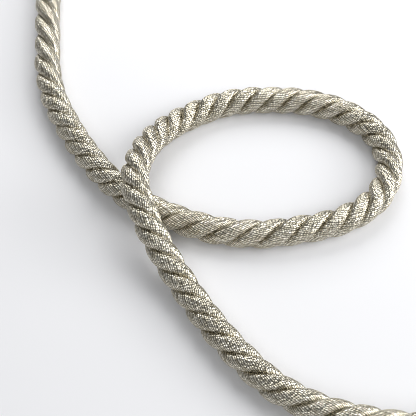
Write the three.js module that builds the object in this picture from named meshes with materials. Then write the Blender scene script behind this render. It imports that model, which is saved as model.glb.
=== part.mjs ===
import * as THREE from 'three';

// Twisted cord trim: a cut length of soft metallic cord, three thick strands laid to the left,
// lying on a flat surface in one loose loop that passes over itself.
// Millimetres, +Z up, z = 0 is the surface the cord lies on. The origin is the middle of the
// bounding box at its lowest level.

const strandCount = 3;
const cordDiameter = 8;
const strandGap = 0.3;
const sealLength = 0.9;
const sealTaper = 0.72;
const ringStep = 1.7;

// A strand's section, across the cord: a round cap, wider than it is high because the strand runs
// slantwise, between two flat flanks where it presses on its neighbours.
const capHeight = cordDiameter * 0.24;
const capHalfWidth = cordDiameter * 0.275;
const capCentre = cordDiameter / 2 - capHeight;
const heartRadius = 0.35;
const capAngles = [-93, -62, -31, 0, 31, 62, 93];

// The cord's middle line, one row each 12.5 mm, from the far left end to the near right end. z is
// 0.4 mm less than the cord's radius where it lies flat, so that its crests are pressed flat
// underneath. turn counts the turns of the first strand about the middle line, from straight up
// towards the left of the way the line runs.
const route = [
  { x: -58.7, y: 88.2, z: 3.6, turn: -1.11 },
  { x: -58.1, y: 75.7, z: 3.6, turn: -0.59 },
  { x: -57.5, y: 63.2, z: 3.6, turn: -0.08 },
  { x: -56.4, y: 50.7, z: 3.6, turn: 0.37 },
  { x: -55.3, y: 38.3, z: 3.6, turn: 0.86 },
  { x: -52.4, y: 26.2, z: 3.6, turn: 1.39 },
  { x: -47.2, y: 14.8, z: 3.6, turn: 1.98 },
  { x: -40.9, y: 4.0, z: 3.6, turn: 2.62 },
  { x: -33.4, y: -6.0, z: 3.6, turn: 3.28 },
  { x: -24.2, y: -14.4, z: 3.6, turn: 3.90 },
  { x: -13.2, y: -20.3, z: 3.6, turn: 4.49 },
  { x: -1.4, y: -24.3, z: 3.6, turn: 5.05 },
  { x: 11.0, y: -25.6, z: 3.6, turn: 5.61 },
  { x: 23.4, y: -24.0, z: 3.6, turn: 6.17 },
  { x: 35.4, y: -20.6, z: 3.6, turn: 6.75 },
  { x: 45.4, y: -13.4, z: 3.6, turn: 7.34 },
  { x: 50.4, y: -2.1, z: 3.6, turn: 7.96 },
  { x: 48.2, y: 10.0, z: 3.6, turn: 8.59 },
  { x: 39.6, y: 18.9, z: 3.6, turn: 9.24 },
  { x: 28.1, y: 23.7, z: 3.6, turn: 9.90 },
  { x: 15.7, y: 24.9, z: 3.6, turn: 10.57 },
  { x: 3.2, y: 23.8, z: 3.6, turn: 11.24 },
  { x: -8.2, y: 18.9, z: 3.6, turn: 11.90 },
  { x: -17.3, y: 10.8, z: 5.7, turn: 12.57 },
  { x: -22.8, y: 0.3, z: 9.5, turn: 13.22 },
  { x: -24.9, y: -11.7, z: 11.9, turn: 13.87 },
  { x: -21.9, y: -23.7, z: 10.7, turn: 14.49 },
  { x: -16.3, y: -34.2, z: 6.8, turn: 15.10 },
  { x: -9.7, y: -44.4, z: 3.8, turn: 15.68 },
  { x: -2.9, y: -54.8, z: 3.6, turn: 16.24 },
  { x: 4.8, y: -64.6, z: 3.6, turn: 16.79 },
  { x: 13.7, y: -73.3, z: 3.6, turn: 17.34 },
  { x: 24.6, y: -79.5, z: 3.6, turn: 17.92 },
  { x: 36.6, y: -83.0, z: 3.6, turn: 18.51 },
  { x: 48.9, y: -84.8, z: 3.6, turn: 19.10 },
  { x: 61.4, y: -85.2, z: 3.6, turn: 19.68 },
];

const strandMaterial = new THREE.MeshStandardMaterial({
  color: 0xbdb8a2,
  roughness: 0.42,
  metalness: 0.7,
});

// A smooth curve through four neighbouring values, between the second and the third.
function smoothBetween(a, b, c, d, t) {
  const slopeB = (c - a) / 2;
  const slopeC = (d - b) / 2;
  const t2 = t * t;
  const t3 = t2 * t;
  return (
    b * (2 * t3 - 3 * t2 + 1) + slopeB * (t3 - 2 * t2 + t) +
    c * (3 * t2 - 2 * t3) + slopeC * (t3 - t2)
  );
}

// The route at a place counted in rows, with the line carried straight on past its two ends.
function routeAt(place) {
  const last = route.length - 1;
  const row = Math.min(Math.floor(place), last - 1);
  const [b, c] = [route[row], route[row + 1]];
  const t = place - row;
  const value = (name) => {
    const a = row > 0 ? route[row - 1][name] : 2 * b[name] - c[name];
    const d = row + 2 <= last ? route[row + 2][name] : 2 * c[name] - b[name];
    return smoothBetween(a, b[name], c[name], d, t);
  };
  return { point: new THREE.Vector3(value('x'), value('y'), value('z')), turn: value('turn') };
}

// Stations along the cord at even steps: where, which way up and left are, and how far turned.
function layStations() {
  const fine = 40;
  const places = [];
  const lengths = [0];
  for (let i = 0; i <= (route.length - 1) * fine; i++) {
    places.push(i / fine);
    if (i > 0) {
      const here = routeAt(places[i]).point;
      lengths.push(lengths[i - 1] + here.distanceTo(routeAt(places[i - 1]).point));
    }
  }
  const total = lengths[lengths.length - 1];
  const count = Math.round(total / ringStep);
  const stations = [];
  let i = 0;
  for (let k = 0; k <= count; k++) {
    const wanted = (total * k) / count;
    while (i < lengths.length - 2 && lengths[i + 1] < wanted) i++;
    const share = (wanted - lengths[i]) / (lengths[i + 1] - lengths[i]);
    stations.push(stationAt(THREE.MathUtils.lerp(places[i], places[i + 1], share)));
  }
  return stations;
}

function stationAt(place) {
  const nearby = 0.01;
  const before = routeAt(Math.max(place - nearby, 0)).point;
  const after = routeAt(Math.min(place + nearby, route.length - 1)).point;
  const along = after.sub(before).normalize();
  const left = new THREE.Vector3(0, 0, 1).cross(along).normalize();
  const up = along.clone().cross(left);
  return { ...routeAt(place), along, left, up };
}

// One strand's section as pairs: outwards from the cord's middle, and sideways.
function strandSection() {
  const flank = THREE.MathUtils.degToRad(180 / strandCount);
  const inset = strandGap / 2 / Math.sin(flank);
  const cap = (angle) => [
    capCentre + capHeight * Math.cos(angle),
    capHalfWidth * Math.sin(angle),
  ];
  let grooveAngle = Math.PI / 2;
  const beyondFlank = (point) => Math.abs(point[1]) > (point[0] - inset) * Math.tan(flank);
  while (!beyondFlank(cap(grooveAngle))) grooveAngle += 0.005;
  const angles = capAngles.map(THREE.MathUtils.degToRad);
  return [
    [heartRadius + inset, 0],
    cap(-grooveAngle),
    ...angles.map(cap),
    cap(grooveAngle),
  ];
}

function strandRing(station, section, strand, shrink, shift) {
  const angle = 2 * Math.PI * (station.turn + strand / strandCount);
  const out = station.up.clone().multiplyScalar(Math.cos(angle));
  out.addScaledVector(station.left, Math.sin(angle));
  const aside = station.left.clone().multiplyScalar(Math.cos(angle));
  aside.addScaledVector(station.up, -Math.sin(angle));
  return section.map(([outwards, sideways]) => {
    const point = station.point.clone().addScaledVector(station.along, shift);
    point.addScaledVector(out, capCentre + (outwards - capCentre) * shrink);
    point.addScaledVector(aside, sideways * shrink);
    point.z = Math.max(point.z, 0);
    return point;
  });
}

// Rings joined by quads of two triangles, and closed at each end by a fan. The quads of the first
// flank are split the other way, as the neighbour's flank that faces it is, so that the gap stays.
function loftRings(rings) {
  const size = rings[0].length;
  const points = rings.flat();
  const triangles = [];
  for (let r = 0; r + 1 < rings.length; r++) {
    for (let i = 0; i < size; i++) {
      const a = r * size + i;
      const b = r * size + ((i + 1) % size);
      if (i === 0) triangles.push(a, a + size, b + size, a, b + size, b);
      else triangles.push(a, a + size, b, b, a + size, b + size);
    }
  }
  const lastRing = (rings.length - 1) * size;
  for (let i = 1; i + 1 < size; i++) {
    triangles.push(0, i, i + 1);
    triangles.push(lastRing, lastRing + i + 1, lastRing + i);
  }
  const geometry = new THREE.BufferGeometry().setFromPoints(points);
  geometry.setIndex(triangles);
  geometry.computeVertexNormals();
  return geometry;
}

function strandMesh(strand, stations) {
  const section = strandSection();
  const first = stations[0];
  const last = stations[stations.length - 1];
  const rings = [
    strandRing(first, section, strand, sealTaper, -sealLength),
    ...stations.map((station) => strandRing(station, section, strand, 1, 0)),
    strandRing(last, section, strand, sealTaper, sealLength),
  ];
  const mesh = new THREE.Mesh(loftRings(rings), strandMaterial);
  mesh.name = `strand_${strand + 1}`;
  return mesh;
}

const cord = new THREE.Group();
const stations = layStations();
for (let strand = 0; strand < strandCount; strand++) cord.add(strandMesh(strand, stations));

export default cord;
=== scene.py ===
import math

import bpy
import numpy as np
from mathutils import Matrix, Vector


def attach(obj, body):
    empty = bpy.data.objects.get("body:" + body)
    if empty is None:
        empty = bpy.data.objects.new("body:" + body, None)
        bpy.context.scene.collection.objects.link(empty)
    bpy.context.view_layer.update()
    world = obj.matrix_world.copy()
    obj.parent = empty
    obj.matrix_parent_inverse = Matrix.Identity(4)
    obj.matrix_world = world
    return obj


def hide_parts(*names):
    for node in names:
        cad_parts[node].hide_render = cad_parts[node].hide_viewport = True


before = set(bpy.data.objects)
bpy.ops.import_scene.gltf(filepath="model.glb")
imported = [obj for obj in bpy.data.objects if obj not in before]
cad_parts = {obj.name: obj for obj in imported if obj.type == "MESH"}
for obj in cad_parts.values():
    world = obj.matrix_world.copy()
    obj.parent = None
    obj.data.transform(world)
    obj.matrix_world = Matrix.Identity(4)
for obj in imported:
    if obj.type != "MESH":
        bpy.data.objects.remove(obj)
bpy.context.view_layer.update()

# Twisted cord trim: three strands of metallic yarn, laid to the left, lying in one loose loop on
# a pale floor. Metres throughout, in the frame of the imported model.

MM = 0.001
FULL_TURN = 2 * math.pi

STRANDS = 3
CORD_DIAMETER = 8 * MM
CORD_RADIUS = CORD_DIAMETER / 2
RING_STEP = 0.75 * MM
ROUTE_STEPS = 40

# The cord's middle line, from the far left end to the near right end, as x, y, z and the turns of
# the first strand about it, from straight up towards the left of the way the line runs.
ROUTE = [
    (-0.0587, 0.0882, 0.0036, -1.11),
    (-0.0581, 0.0757, 0.0036, -0.59),
    (-0.0575, 0.0632, 0.0036, -0.08),
    (-0.0564, 0.0507, 0.0036, 0.37),
    (-0.0553, 0.0383, 0.0036, 0.86),
    (-0.0524, 0.0262, 0.0036, 1.39),
    (-0.0472, 0.0148, 0.0036, 1.98),
    (-0.0409, 0.0040, 0.0036, 2.62),
    (-0.0334, -0.0060, 0.0036, 3.28),
    (-0.0242, -0.0144, 0.0036, 3.90),
    (-0.0132, -0.0203, 0.0036, 4.49),
    (-0.0014, -0.0243, 0.0036, 5.05),
    (0.0110, -0.0256, 0.0036, 5.61),
    (0.0234, -0.0240, 0.0036, 6.17),
    (0.0354, -0.0206, 0.0036, 6.75),
    (0.0454, -0.0134, 0.0036, 7.34),
    (0.0504, -0.0021, 0.0036, 7.96),
    (0.0482, 0.0100, 0.0036, 8.59),
    (0.0396, 0.0189, 0.0036, 9.24),
    (0.0281, 0.0237, 0.0036, 9.90),
    (0.0157, 0.0249, 0.0036, 10.57),
    (0.0032, 0.0238, 0.0036, 11.24),
    (-0.0082, 0.0189, 0.0036, 11.90),
    (-0.0173, 0.0108, 0.0057, 12.57),
    (-0.0228, 0.0003, 0.0095, 13.22),
    (-0.0249, -0.0117, 0.0119, 13.87),
    (-0.0219, -0.0237, 0.0107, 14.49),
    (-0.0163, -0.0342, 0.0068, 15.10),
    (-0.0097, -0.0444, 0.0038, 15.68),
    (-0.0029, -0.0548, 0.0036, 16.24),
    (0.0048, -0.0646, 0.0036, 16.79),
    (0.0137, -0.0733, 0.0036, 17.34),
    (0.0246, -0.0795, 0.0036, 17.92),
    (0.0366, -0.0830, 0.0036, 18.51),
    (0.0489, -0.0848, 0.0036, 19.10),
    (0.0614, -0.0852, 0.0036, 19.68),
]

# A strand's section across the cord: a round cap between two flat flanks.
CAP_HEIGHT = CORD_DIAMETER * 0.24
CAP_HALF_WIDTH = CORD_DIAMETER * 0.305
CAP_CENTRE = CORD_RADIUS - CAP_HEIGHT
CAP_POWER = 2.1
HEART_RADIUS = 0.35 * MM
FLANK_GAP = 0.04 * MM
CAP_SAMPLES = 4001
FLANK_SAMPLES = 60
OUTLINE_SAMPLES = 720
NORMAL_REACH = 3

# The yarns of a strand run almost along the cord, so each crosses the strand's cap slantwise.
YARNS = 24
YARN_POINTS = 4
YARN_RIDGE = 0.12 * MM
YARN_RISE = 0.05 * MM
YARN_TRAVEL = -0.098
YARN_WANDER = 0.22
WANDER_STATIONS = 9
YARN_SWELL = 0.35
SWELL_STATIONS = 14
FIRST_SEED = 40

# Each yarn is wound with flat shiny thread, whose turns lean across it. The tone and the tilt of
# each turn differ, and streaks a few turns long run along each yarn.
WRAP_PITCH = 0.85 * MM
WRAP_LEAN = 8 / YARNS
WRAP_SCATTER = 0.6
WRAP_HEIGHT = 0.05 * MM
THREAD_TIP = 0.22
THREAD_ROLL = 0.14
THREAD_DARK = (0.60, 0.545, 0.42)
THREAD_LIGHT = (1.0, 0.95, 0.825)
THREAD_ROUGHNESS = 0.3
# Painted shade: the dark colour laid into the hollows between the thread's turns and between
# neighbouring yarns.
CREVICE_SHADE_COLOUR = (0.11, 0.10, 0.07)
THREAD_SHEEN = 0.9
SHEEN_TURN = 0.25
# Powers that set how far the painted shade reaches in from the edges of each turn and of each yarn.
WRAP_SHADE_POWER = 0.3
YARN_SHADE_POWER = 0.8
STREAK_LENGTH = 5 * MM
STREAK_SPACING = 7.3
STREAK_TONE = 1.6
STREAK_ROLL = 0.25

# The cut ends are sealed and taper a little.
SEAL_LENGTH = 0.9 * MM
SEAL_TAPER = 0.72
CUT_YARN = 0.5 * MM

FLOOR_HALF = 1.5
FLOOR_DROP = 0.1 * MM
FLOOR_COLOUR = (0.86, 0.86, 0.875, 1)
FLOOR_ROUGHNESS = 0.9
FLOOR_SHINE = 0.1

# Square lamps that face the cord: name, azimuth, elevation, distance, side and power. Azimuth 0
# is to the right, and 90 away from the viewer.
LAMPS = [
    ("key", 0, 37, 0.65, 0.5, 2.6),
    ("side", 2, 13, 0.75, 0.4, 2.6),
    ("front", 265, 45, 1.0, 0.4, 2.0),
    ("back", 92, 43, 0.42, 0.3, 1.05),
]
SKY_COLOUR = (0.95, 0.97, 1.0, 1)
SKY_STRENGTH = 0.24

# The photograph's view, as a pinhole camera over the point at the image's middle.
IMAGE_SIZE = 416
FOCAL_PIXELS = 1055
CAMERA_ELEVATION = math.radians(55)
CAMERA_DISTANCE = 0.312
CAMERA_TARGET = Vector((-0.00386, -0.01397, 0.0))
SENSOR_WIDTH = 36.0
NEAREST_SEEN = 0.01
PIXEL_FILTER = 0.8


def smooth_between(a, b, c, d, t):
    """The smooth curve through four neighbouring rows, between the second and the third."""
    slope_b = (c - a) / 2
    slope_c = (d - b) / 2
    t2 = t * t
    t3 = t2 * t
    return (
        b * (2 * t3 - 3 * t2 + 1) + slope_b * (t3 - 2 * t2 + t)
        + c * (3 * t2 - 2 * t3) + slope_c * (t3 - t2)
    )


def fine_route():
    """Points and turns close together along the route, with the length up to each."""
    rows = np.array(ROUTE)
    rows = np.vstack([2 * rows[0] - rows[1], rows, 2 * rows[-1] - rows[-2]])
    steps = np.linspace(0, 1, ROUTE_STEPS, endpoint=False)[:, None]
    pieces = [smooth_between(*rows[i:i + 4], steps) for i in range(len(ROUTE) - 1)]
    line = np.vstack(pieces + [rows[-2:-1]])
    lengths = np.r_[0, np.cumsum(np.linalg.norm(np.diff(line[:, :3], axis=0), axis=1))]
    return line, lengths


def unit(vectors):
    return vectors / np.linalg.norm(vectors, axis=-1, keepdims=True)


class Lay:
    """Stations at even steps along the cord: where, how far turned, and along, left and up."""

    def __init__(self, step):
        line, lengths = fine_route()
        self.length = lengths[-1]
        count = round(self.length / step)
        self.at = np.linspace(0, self.length, count + 1)
        columns = [np.interp(self.at, lengths, line[:, k]) for k in range(4)]
        self.points = np.stack(columns[:3], axis=1)
        self.turns = columns[3]
        self.along = unit(np.gradient(self.points, axis=0))
        self.left = unit(np.cross([0.0, 0.0, 1.0], self.along))
        self.up = np.cross(self.along, self.left)


def strand_section():
    """The section's outline and its outward normals, at even steps round it."""
    flank = math.pi / STRANDS
    inset = FLANK_GAP / 2 / math.sin(flank)
    angles = np.linspace(-math.pi, math.pi, CAP_SAMPLES)
    cosine, sine = np.cos(angles), np.sin(angles)
    power = 2 / CAP_POWER
    out = CAP_CENTRE + CAP_HEIGHT * np.sign(cosine) * np.abs(cosine) ** power
    side = CAP_HALF_WIDTH * np.sign(sine) * np.abs(sine) ** power
    inside = np.abs(side) <= (out - inset) * math.tan(flank)
    cap = np.stack([out[inside], side[inside]], axis=1)
    shares = np.linspace(0, 1, FLANK_SAMPLES)[:, None]
    heart = np.array([[HEART_RADIUS + inset, 0.0]])
    outline = np.vstack([
        heart + (cap[0] - heart) * shares[:-1],
        cap,
        cap[-1] + (heart - cap[-1]) * shares[1:],
    ])
    lengths = np.r_[0, np.cumsum(np.linalg.norm(np.diff(outline, axis=0), axis=1))]
    even = np.linspace(0, lengths[-1], OUTLINE_SAMPLES + 1)[:-1]
    outline = np.stack([np.interp(even, lengths, outline[:, k]) for k in range(2)], axis=1)
    before = np.roll(outline, NORMAL_REACH, axis=0)
    after = np.roll(outline, -NORMAL_REACH, axis=0)
    tangent = unit(after - before)
    normal = np.stack([tangent[:, 1], -tangent[:, 0]], axis=1)
    return outline, normal


def smooth_noise(random, count, columns, grain):
    """Columns of noise between about -1 and 1, which changes over grain stations."""
    knots = max(4, round(count / grain) + 3)
    values = random.normal(0, 0.5, (columns, knots))
    places = np.linspace(0, knots - 1.001, count)
    return np.stack([np.interp(places, np.arange(knots), row) for row in values], axis=1)


def yarn_sections(lay, random):
    """A strand's section at each station, with its yarns raised on the outline."""
    outline, normal = strand_section()
    count = len(lay.at)
    across = np.arange(YARNS * YARN_POINTS) / YARN_POINTS
    ridge = np.sin(math.pi * (across % 1)) * YARN_RIDGE
    wander = smooth_noise(random, count, YARNS, WANDER_STATIONS) * YARN_WANDER
    wander = np.repeat(wander, YARN_POINTS, axis=1)
    travel = (lay.at / MM * YARN_TRAVEL)[:, None]
    share = (across[None, :] + wander) / YARNS + travel
    place = (share % 1) * len(outline)
    low = np.floor(place).astype(int) % len(outline)
    high = (low + 1) % len(outline)
    part = (place - np.floor(place))[..., None]
    section = outline[low] * (1 - part) + outline[high] * part
    normals = unit(normal[low] * (1 - part) + normal[high] * part)
    swell = 1 + smooth_noise(random, count, YARNS, SWELL_STATIONS) * YARN_SWELL
    height = ridge[None, :] * np.repeat(swell, YARN_POINTS, axis=1) + YARN_RISE
    return section + normals * height[..., None]


def placed(lay, strand, section, stations, shrink=1.0, shift=0.0):
    """Section points put in their place at the given stations, never below the floor."""
    angle = FULL_TURN * (lay.turns[stations] + strand / STRANDS)
    cosine, sine = np.cos(angle)[:, None], np.sin(angle)[:, None]
    out = lay.up[stations] * cosine + lay.left[stations] * sine
    aside = lay.left[stations] * cosine - lay.up[stations] * sine
    centre = lay.points[stations] + lay.along[stations] * shift
    outwards = CAP_CENTRE + (section[..., 0:1] - CAP_CENTRE) * shrink
    points = centre[:, None] + out[:, None] * outwards + aside[:, None] * section[..., 1:2] * shrink
    points[..., 2] = np.maximum(points[..., 2], 0.0)
    return points


def strand_object(lay, strand, material):
    section = yarn_sections(lay, np.random.default_rng(FIRST_SEED + strand))
    everywhere = np.arange(len(lay.at))
    rings = placed(lay, strand, section, everywhere)
    first = placed(lay, strand, section[:1], everywhere[:1], SEAL_TAPER, -SEAL_LENGTH)
    last = placed(lay, strand, section[-1:], everywhere[-1:], SEAL_TAPER, SEAL_LENGTH)
    rings = np.concatenate([first, rings, last])
    at = np.r_[lay.at[0] - SEAL_LENGTH, lay.at, lay.at[-1] + SEAL_LENGTH] / MM
    return tube_object(f"strand_{strand + 1}_yarns", rings, at, strand * YARNS, material)


def end_places(ring, at, yarn):
    """Places over a cut end, with its middle last, in the measures used along and across yarns."""
    points = np.vstack([ring, ring.mean(axis=0)]) - ring.mean(axis=0)
    first = unit(points[0])
    facing = unit(np.cross(first, points[len(ring) // 4]))
    second = np.cross(facing, first)
    return np.stack([at + points @ first / MM, yarn + points @ second / CUT_YARN], axis=1)


def tube_object(name, rings, at, first_yarn, material):
    """A closed tube of quads through the rings, with the place along and across the yarns as UV."""
    count, size, _ = rings.shape
    points = rings.reshape(-1, 3)
    ends = np.stack([rings[0].mean(axis=0), rings[-1].mean(axis=0)])
    points = np.vstack([points, ends])
    ring, spot = np.meshgrid(np.arange(count - 1), np.arange(size), indexing="ij")
    after = (spot + 1) % size
    a, b = ring * size + spot, ring * size + after
    quads = np.stack([a, a + size, b + size, b], axis=-1).reshape(-1, 4)
    spots = np.arange(size)
    nexts = (spots + 1) % size
    start, end = count * size, count * size + 1
    last = (count - 1) * size
    fans = np.vstack([
        np.stack([np.full(size, start), spots, nexts], axis=1),
        np.stack([np.full(size, end), last + nexts, last + spots], axis=1),
    ])
    across = first_yarn + np.arange(size) / YARN_POINTS
    near, far = across[spot], across[spot] + 1 / YARN_POINTS
    quad_along = np.stack([at[ring], at[ring + 1], at[ring + 1], at[ring]], axis=-1)
    quad_across = np.stack([near, near, far, far], axis=-1)
    quad_uv = np.stack([quad_along, quad_across], axis=-1).reshape(-1, 2)
    start_uv = end_places(rings[0], at[0], first_yarn)
    end_uv = end_places(rings[-1], at[-1], first_yarn)
    middles = np.full(size, size)
    fan_uv = np.vstack([
        start_uv[np.stack([middles, spots, nexts], axis=1).ravel()],
        end_uv[np.stack([middles, nexts, spots], axis=1).ravel()],
    ])

    mesh = bpy.data.meshes.new(name)
    mesh.vertices.add(len(points))
    mesh.vertices.foreach_set("co", points.astype(np.float32).ravel())
    corners = np.r_[quads.ravel(), fans.ravel()].astype(np.int32)
    mesh.loops.add(len(corners))
    mesh.loops.foreach_set("vertex_index", corners)
    starts = np.r_[np.arange(len(quads)) * 4, len(quads) * 4 + np.arange(len(fans)) * 3]
    mesh.polygons.add(len(starts))
    mesh.polygons.foreach_set("loop_start", starts.astype(np.int32))
    mesh.uv_layers.new(name="yarn")
    mesh.update(calc_edges=True)
    mesh.validate()
    uv = np.vstack([quad_uv, fan_uv]).astype(np.float32)
    mesh.uv_layers["yarn"].data.foreach_set("uv", uv.ravel())
    mesh.polygons.foreach_set("use_smooth", np.ones(len(starts), dtype=bool))
    mesh.materials.append(material)
    piece = bpy.data.objects.new(name, mesh)
    bpy.context.scene.collection.objects.link(piece)
    return piece


def add_node(tree, kind, **settings):
    """A node with its settings by name."""
    node = tree.nodes.new(kind)
    for name, value in settings.items():
        setattr(node, name, value)
    return node


def feed(tree, socket, value):
    """Links a socket to another's output, or gives it a plain value."""
    if isinstance(value, bpy.types.NodeSocket):
        tree.links.new(value, socket)
    else:
        socket.default_value = value


def math_node(tree, operation, *inputs):
    node = add_node(tree, "ShaderNodeMath", operation=operation)
    for socket, value in zip(node.inputs, inputs):
        feed(tree, socket, value)
    return node.outputs[0]


def vector_node(tree, operation, *inputs):
    node = add_node(tree, "ShaderNodeVectorMath", operation=operation)
    for socket, value in zip(node.inputs, inputs):
        feed(tree, socket, value)
    return node.outputs[0]


def scaled(tree, vector, factor):
    node = add_node(tree, "ShaderNodeVectorMath", operation="SCALE")
    feed(tree, node.inputs["Vector"], vector)
    feed(tree, node.inputs["Scale"], factor)
    return node.outputs[0]


def random_values(tree, first, second):
    """Three values from 0 to 1 that belong to a pair of numbers."""
    pair = add_node(tree, "ShaderNodeCombineXYZ")
    feed(tree, pair.inputs[0], first)
    feed(tree, pair.inputs[1], second)
    noise = add_node(tree, "ShaderNodeTexWhiteNoise", noise_dimensions="3D")
    feed(tree, noise.inputs["Vector"], pair.outputs[0])
    values = add_node(tree, "ShaderNodeSeparateColor")
    feed(tree, values.inputs[0], noise.outputs["Color"])
    return values.outputs[0], values.outputs[1], values.outputs[2]


def hump(tree, place):
    """From 0 at each whole number up to 1 half way to the next."""
    return math_node(tree, "SINE", math_node(tree, "MULTIPLY", math_node(tree, "FRACT", place), math.pi))


def yarn_streak(tree, along, yarn):
    """A value about 0 that changes slowly along each yarn, apart from its neighbours."""
    place = add_node(tree, "ShaderNodeCombineXYZ")
    feed(tree, place.inputs[0], math_node(tree, "DIVIDE", along, STREAK_LENGTH / MM))
    feed(tree, place.inputs[1], math_node(tree, "MULTIPLY", yarn, STREAK_SPACING))
    noise = add_node(tree, "ShaderNodeTexNoise")
    feed(tree, noise.inputs["Vector"], place.outputs[0])
    feed(tree, noise.inputs["Scale"], 1.0)
    return math_node(tree, "SUBTRACT", noise.outputs[0], 0.5)


def thread_turns(tree, along, across, yarn):
    """How many turns the thread has made round its yarn, counted along it."""
    lean = math_node(tree, "MULTIPLY", across, -WRAP_LEAN)
    scatter = math_node(tree, "MULTIPLY", random_values(tree, yarn, 0.5)[0], WRAP_SCATTER)
    turns = math_node(tree, "DIVIDE", along, WRAP_PITCH / MM)
    return math_node(tree, "ADD", math_node(tree, "ADD", turns, lean), scatter)


def thread_colour(tree, tone, wrap_crest, yarn_crest):
    """Bright thread by its tone, with painted shade darkening it towards the edges of each turn and of
    each yarn, where the hollows between them lie.
    """
    ramp = add_node(tree, "ShaderNodeValToRGB")
    ramp.color_ramp.elements[0].color = (*THREAD_DARK, 1)
    ramp.color_ramp.elements[1].color = (*THREAD_LIGHT, 1)
    feed(tree, ramp.inputs[0], tone)
    wrap_shade_mask = math_node(tree, "POWER", wrap_crest, WRAP_SHADE_POWER)
    yarn_shade_mask = math_node(tree, "POWER", yarn_crest, YARN_SHADE_POWER)
    # Painted shade: towards the edges of each turn and of each yarn, the thread colour gives way to the
    # dark shade colour.
    colour = add_node(tree, "ShaderNodeMix", data_type="RGBA")
    feed(tree, colour.inputs[0], math_node(tree, "MULTIPLY", wrap_shade_mask, yarn_shade_mask))
    feed(tree, colour.inputs[6], (*CREVICE_SHADE_COLOUR, 1))
    feed(tree, colour.inputs[7], ramp.outputs[0])
    return colour.outputs[2]


def thread_normal(tree, grain, tip, roll, wrap_crest):
    """The surface's normal, tilted along and across the yarn, with the turns raised on it."""
    normal = add_node(tree, "ShaderNodeNewGeometry").outputs["Normal"]
    side = vector_node(tree, "CROSS_PRODUCT", normal, grain)
    tilted = vector_node(tree, "ADD", normal, scaled(tree, grain, tip))
    tilted = vector_node(tree, "ADD", tilted, scaled(tree, side, roll))
    bump = add_node(tree, "ShaderNodeBump")
    bump.inputs["Distance"].default_value = WRAP_HEIGHT
    feed(tree, bump.inputs["Height"], wrap_crest)
    feed(tree, bump.inputs["Normal"], vector_node(tree, "NORMALIZE", tilted))
    return bump.outputs[0]


def spread(tree, value, most):
    """A value from 0 to 1, moved to lie between minus the most and the most."""
    return math_node(tree, "MULTIPLY", math_node(tree, "SUBTRACT", value, 0.5), 2 * most)


def metallic_yarn():
    """Fine yarn wound with flat metallic thread, whose turns catch the light one by one."""
    material = bpy.data.materials.new("metallic_yarn_thread")
    material.use_nodes = True
    tree = material.node_tree
    shader = tree.nodes["Principled BSDF"]
    place = add_node(tree, "ShaderNodeUVMap", uv_map="yarn")
    parts = add_node(tree, "ShaderNodeSeparateXYZ")
    feed(tree, parts.inputs[0], place.outputs[0])
    along, across = parts.outputs[0], parts.outputs[1]

    yarn = math_node(tree, "FLOOR", across)
    turns = thread_turns(tree, along, across, yarn)
    light, tip, roll = random_values(tree, math_node(tree, "FLOOR", turns), yarn)
    streak = yarn_streak(tree, along, yarn)
    wrap_crest = hump(tree, turns)
    yarn_crest = hump(tree, across)

    tone = math_node(tree, "ADD", light, math_node(tree, "MULTIPLY", streak, STREAK_TONE))
    feed(tree, shader.inputs["Base Color"], thread_colour(tree, tone, wrap_crest, yarn_crest))
    grain = add_node(tree, "ShaderNodeTangent", direction_type="UV_MAP", uv_map="yarn").outputs[0]
    streak_roll = math_node(tree, "MULTIPLY", streak, STREAK_ROLL)
    tip = spread(tree, tip, THREAD_TIP)
    roll = math_node(tree, "ADD", spread(tree, roll, THREAD_ROLL), streak_roll)
    feed(tree, shader.inputs["Normal"], thread_normal(tree, grain, tip, roll, wrap_crest))
    feed(tree, shader.inputs["Tangent"], grain)
    shader.inputs["Metallic"].default_value = 1.0
    shader.inputs["Roughness"].default_value = THREAD_ROUGHNESS
    shader.inputs["Anisotropic"].default_value = THREAD_SHEEN
    shader.inputs["Anisotropic Rotation"].default_value = SHEEN_TURN
    return material


def floor_material():
    material = bpy.data.materials.new("pale_floor")
    material.use_nodes = True
    shader = material.node_tree.nodes["Principled BSDF"]
    shader.inputs["Base Color"].default_value = FLOOR_COLOUR
    shader.inputs["Roughness"].default_value = FLOOR_ROUGHNESS
    shader.inputs["Specular IOR Level"].default_value = FLOOR_SHINE
    return material


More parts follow.
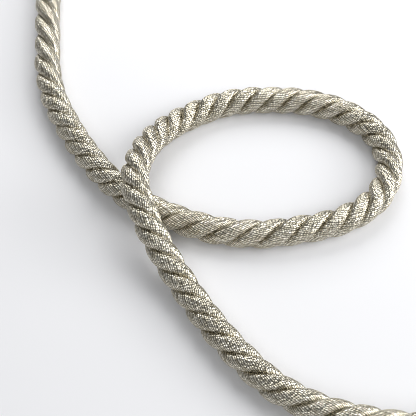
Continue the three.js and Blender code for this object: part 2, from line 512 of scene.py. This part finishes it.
def add_floor():
    mesh = bpy.data.meshes.new("floor")
    sides = [(-1, -1), (1, -1), (1, 1), (-1, 1)]
    corners = [(x * FLOOR_HALF, y * FLOOR_HALF, -FLOOR_DROP) for x, y in sides]
    mesh.from_pydata(corners, [], [(0, 1, 2, 3)])
    mesh.materials.append(floor_material())
    floor = bpy.data.objects.new("floor", mesh)
    bpy.context.scene.collection.objects.link(floor)


def add_camera():
    data = bpy.data.cameras.new("camera")
    data.sensor_fit = "HORIZONTAL"
    data.sensor_width = SENSOR_WIDTH
    data.lens = FOCAL_PIXELS / IMAGE_SIZE * SENSOR_WIDTH
    data.clip_start = NEAREST_SEEN
    camera = bpy.data.objects.new("camera", data)
    towards = Vector((0, -math.cos(CAMERA_ELEVATION), math.sin(CAMERA_ELEVATION)))
    camera.location = CAMERA_TARGET + towards * CAMERA_DISTANCE
    camera.rotation_euler = (-towards).to_track_quat("-Z", "Y").to_euler()
    bpy.context.scene.collection.objects.link(camera)
    bpy.context.scene.camera = camera


def add_lamp(name, azimuth, elevation, distance, side, power):
    data = bpy.data.lights.new(name, "AREA")
    data.size = side
    data.energy = power
    lamp = bpy.data.objects.new(name, data)
    turn, rise = math.radians(azimuth), math.radians(elevation)
    away = Vector((math.cos(turn) * math.cos(rise), math.sin(turn) * math.cos(rise), math.sin(rise)))
    lamp.location = away * distance
    lamp.rotation_euler = (-away).to_track_quat("-Z", "Y").to_euler()
    bpy.context.scene.collection.objects.link(lamp)


def add_lights():
    for lamp in LAMPS:
        add_lamp(*lamp)
    world = bpy.data.worlds.new("studio")
    world.use_nodes = True
    sky = world.node_tree.nodes["Background"]
    sky.inputs["Color"].default_value = SKY_COLOUR
    sky.inputs["Strength"].default_value = SKY_STRENGTH
    bpy.context.scene.world = world


scene = bpy.context.scene
scene.view_settings.view_transform = "Standard"
scene.cycles.filter_width = PIXEL_FILTER
add_camera()
add_floor()
add_lights()

thread = metallic_yarn()
lay = Lay(RING_STEP)
strands = [strand_object(lay, strand, thread) for strand in range(STRANDS)]
for number, piece in enumerate(strands, 1):
    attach(piece, "root")
    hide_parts(f"strand_{number}")
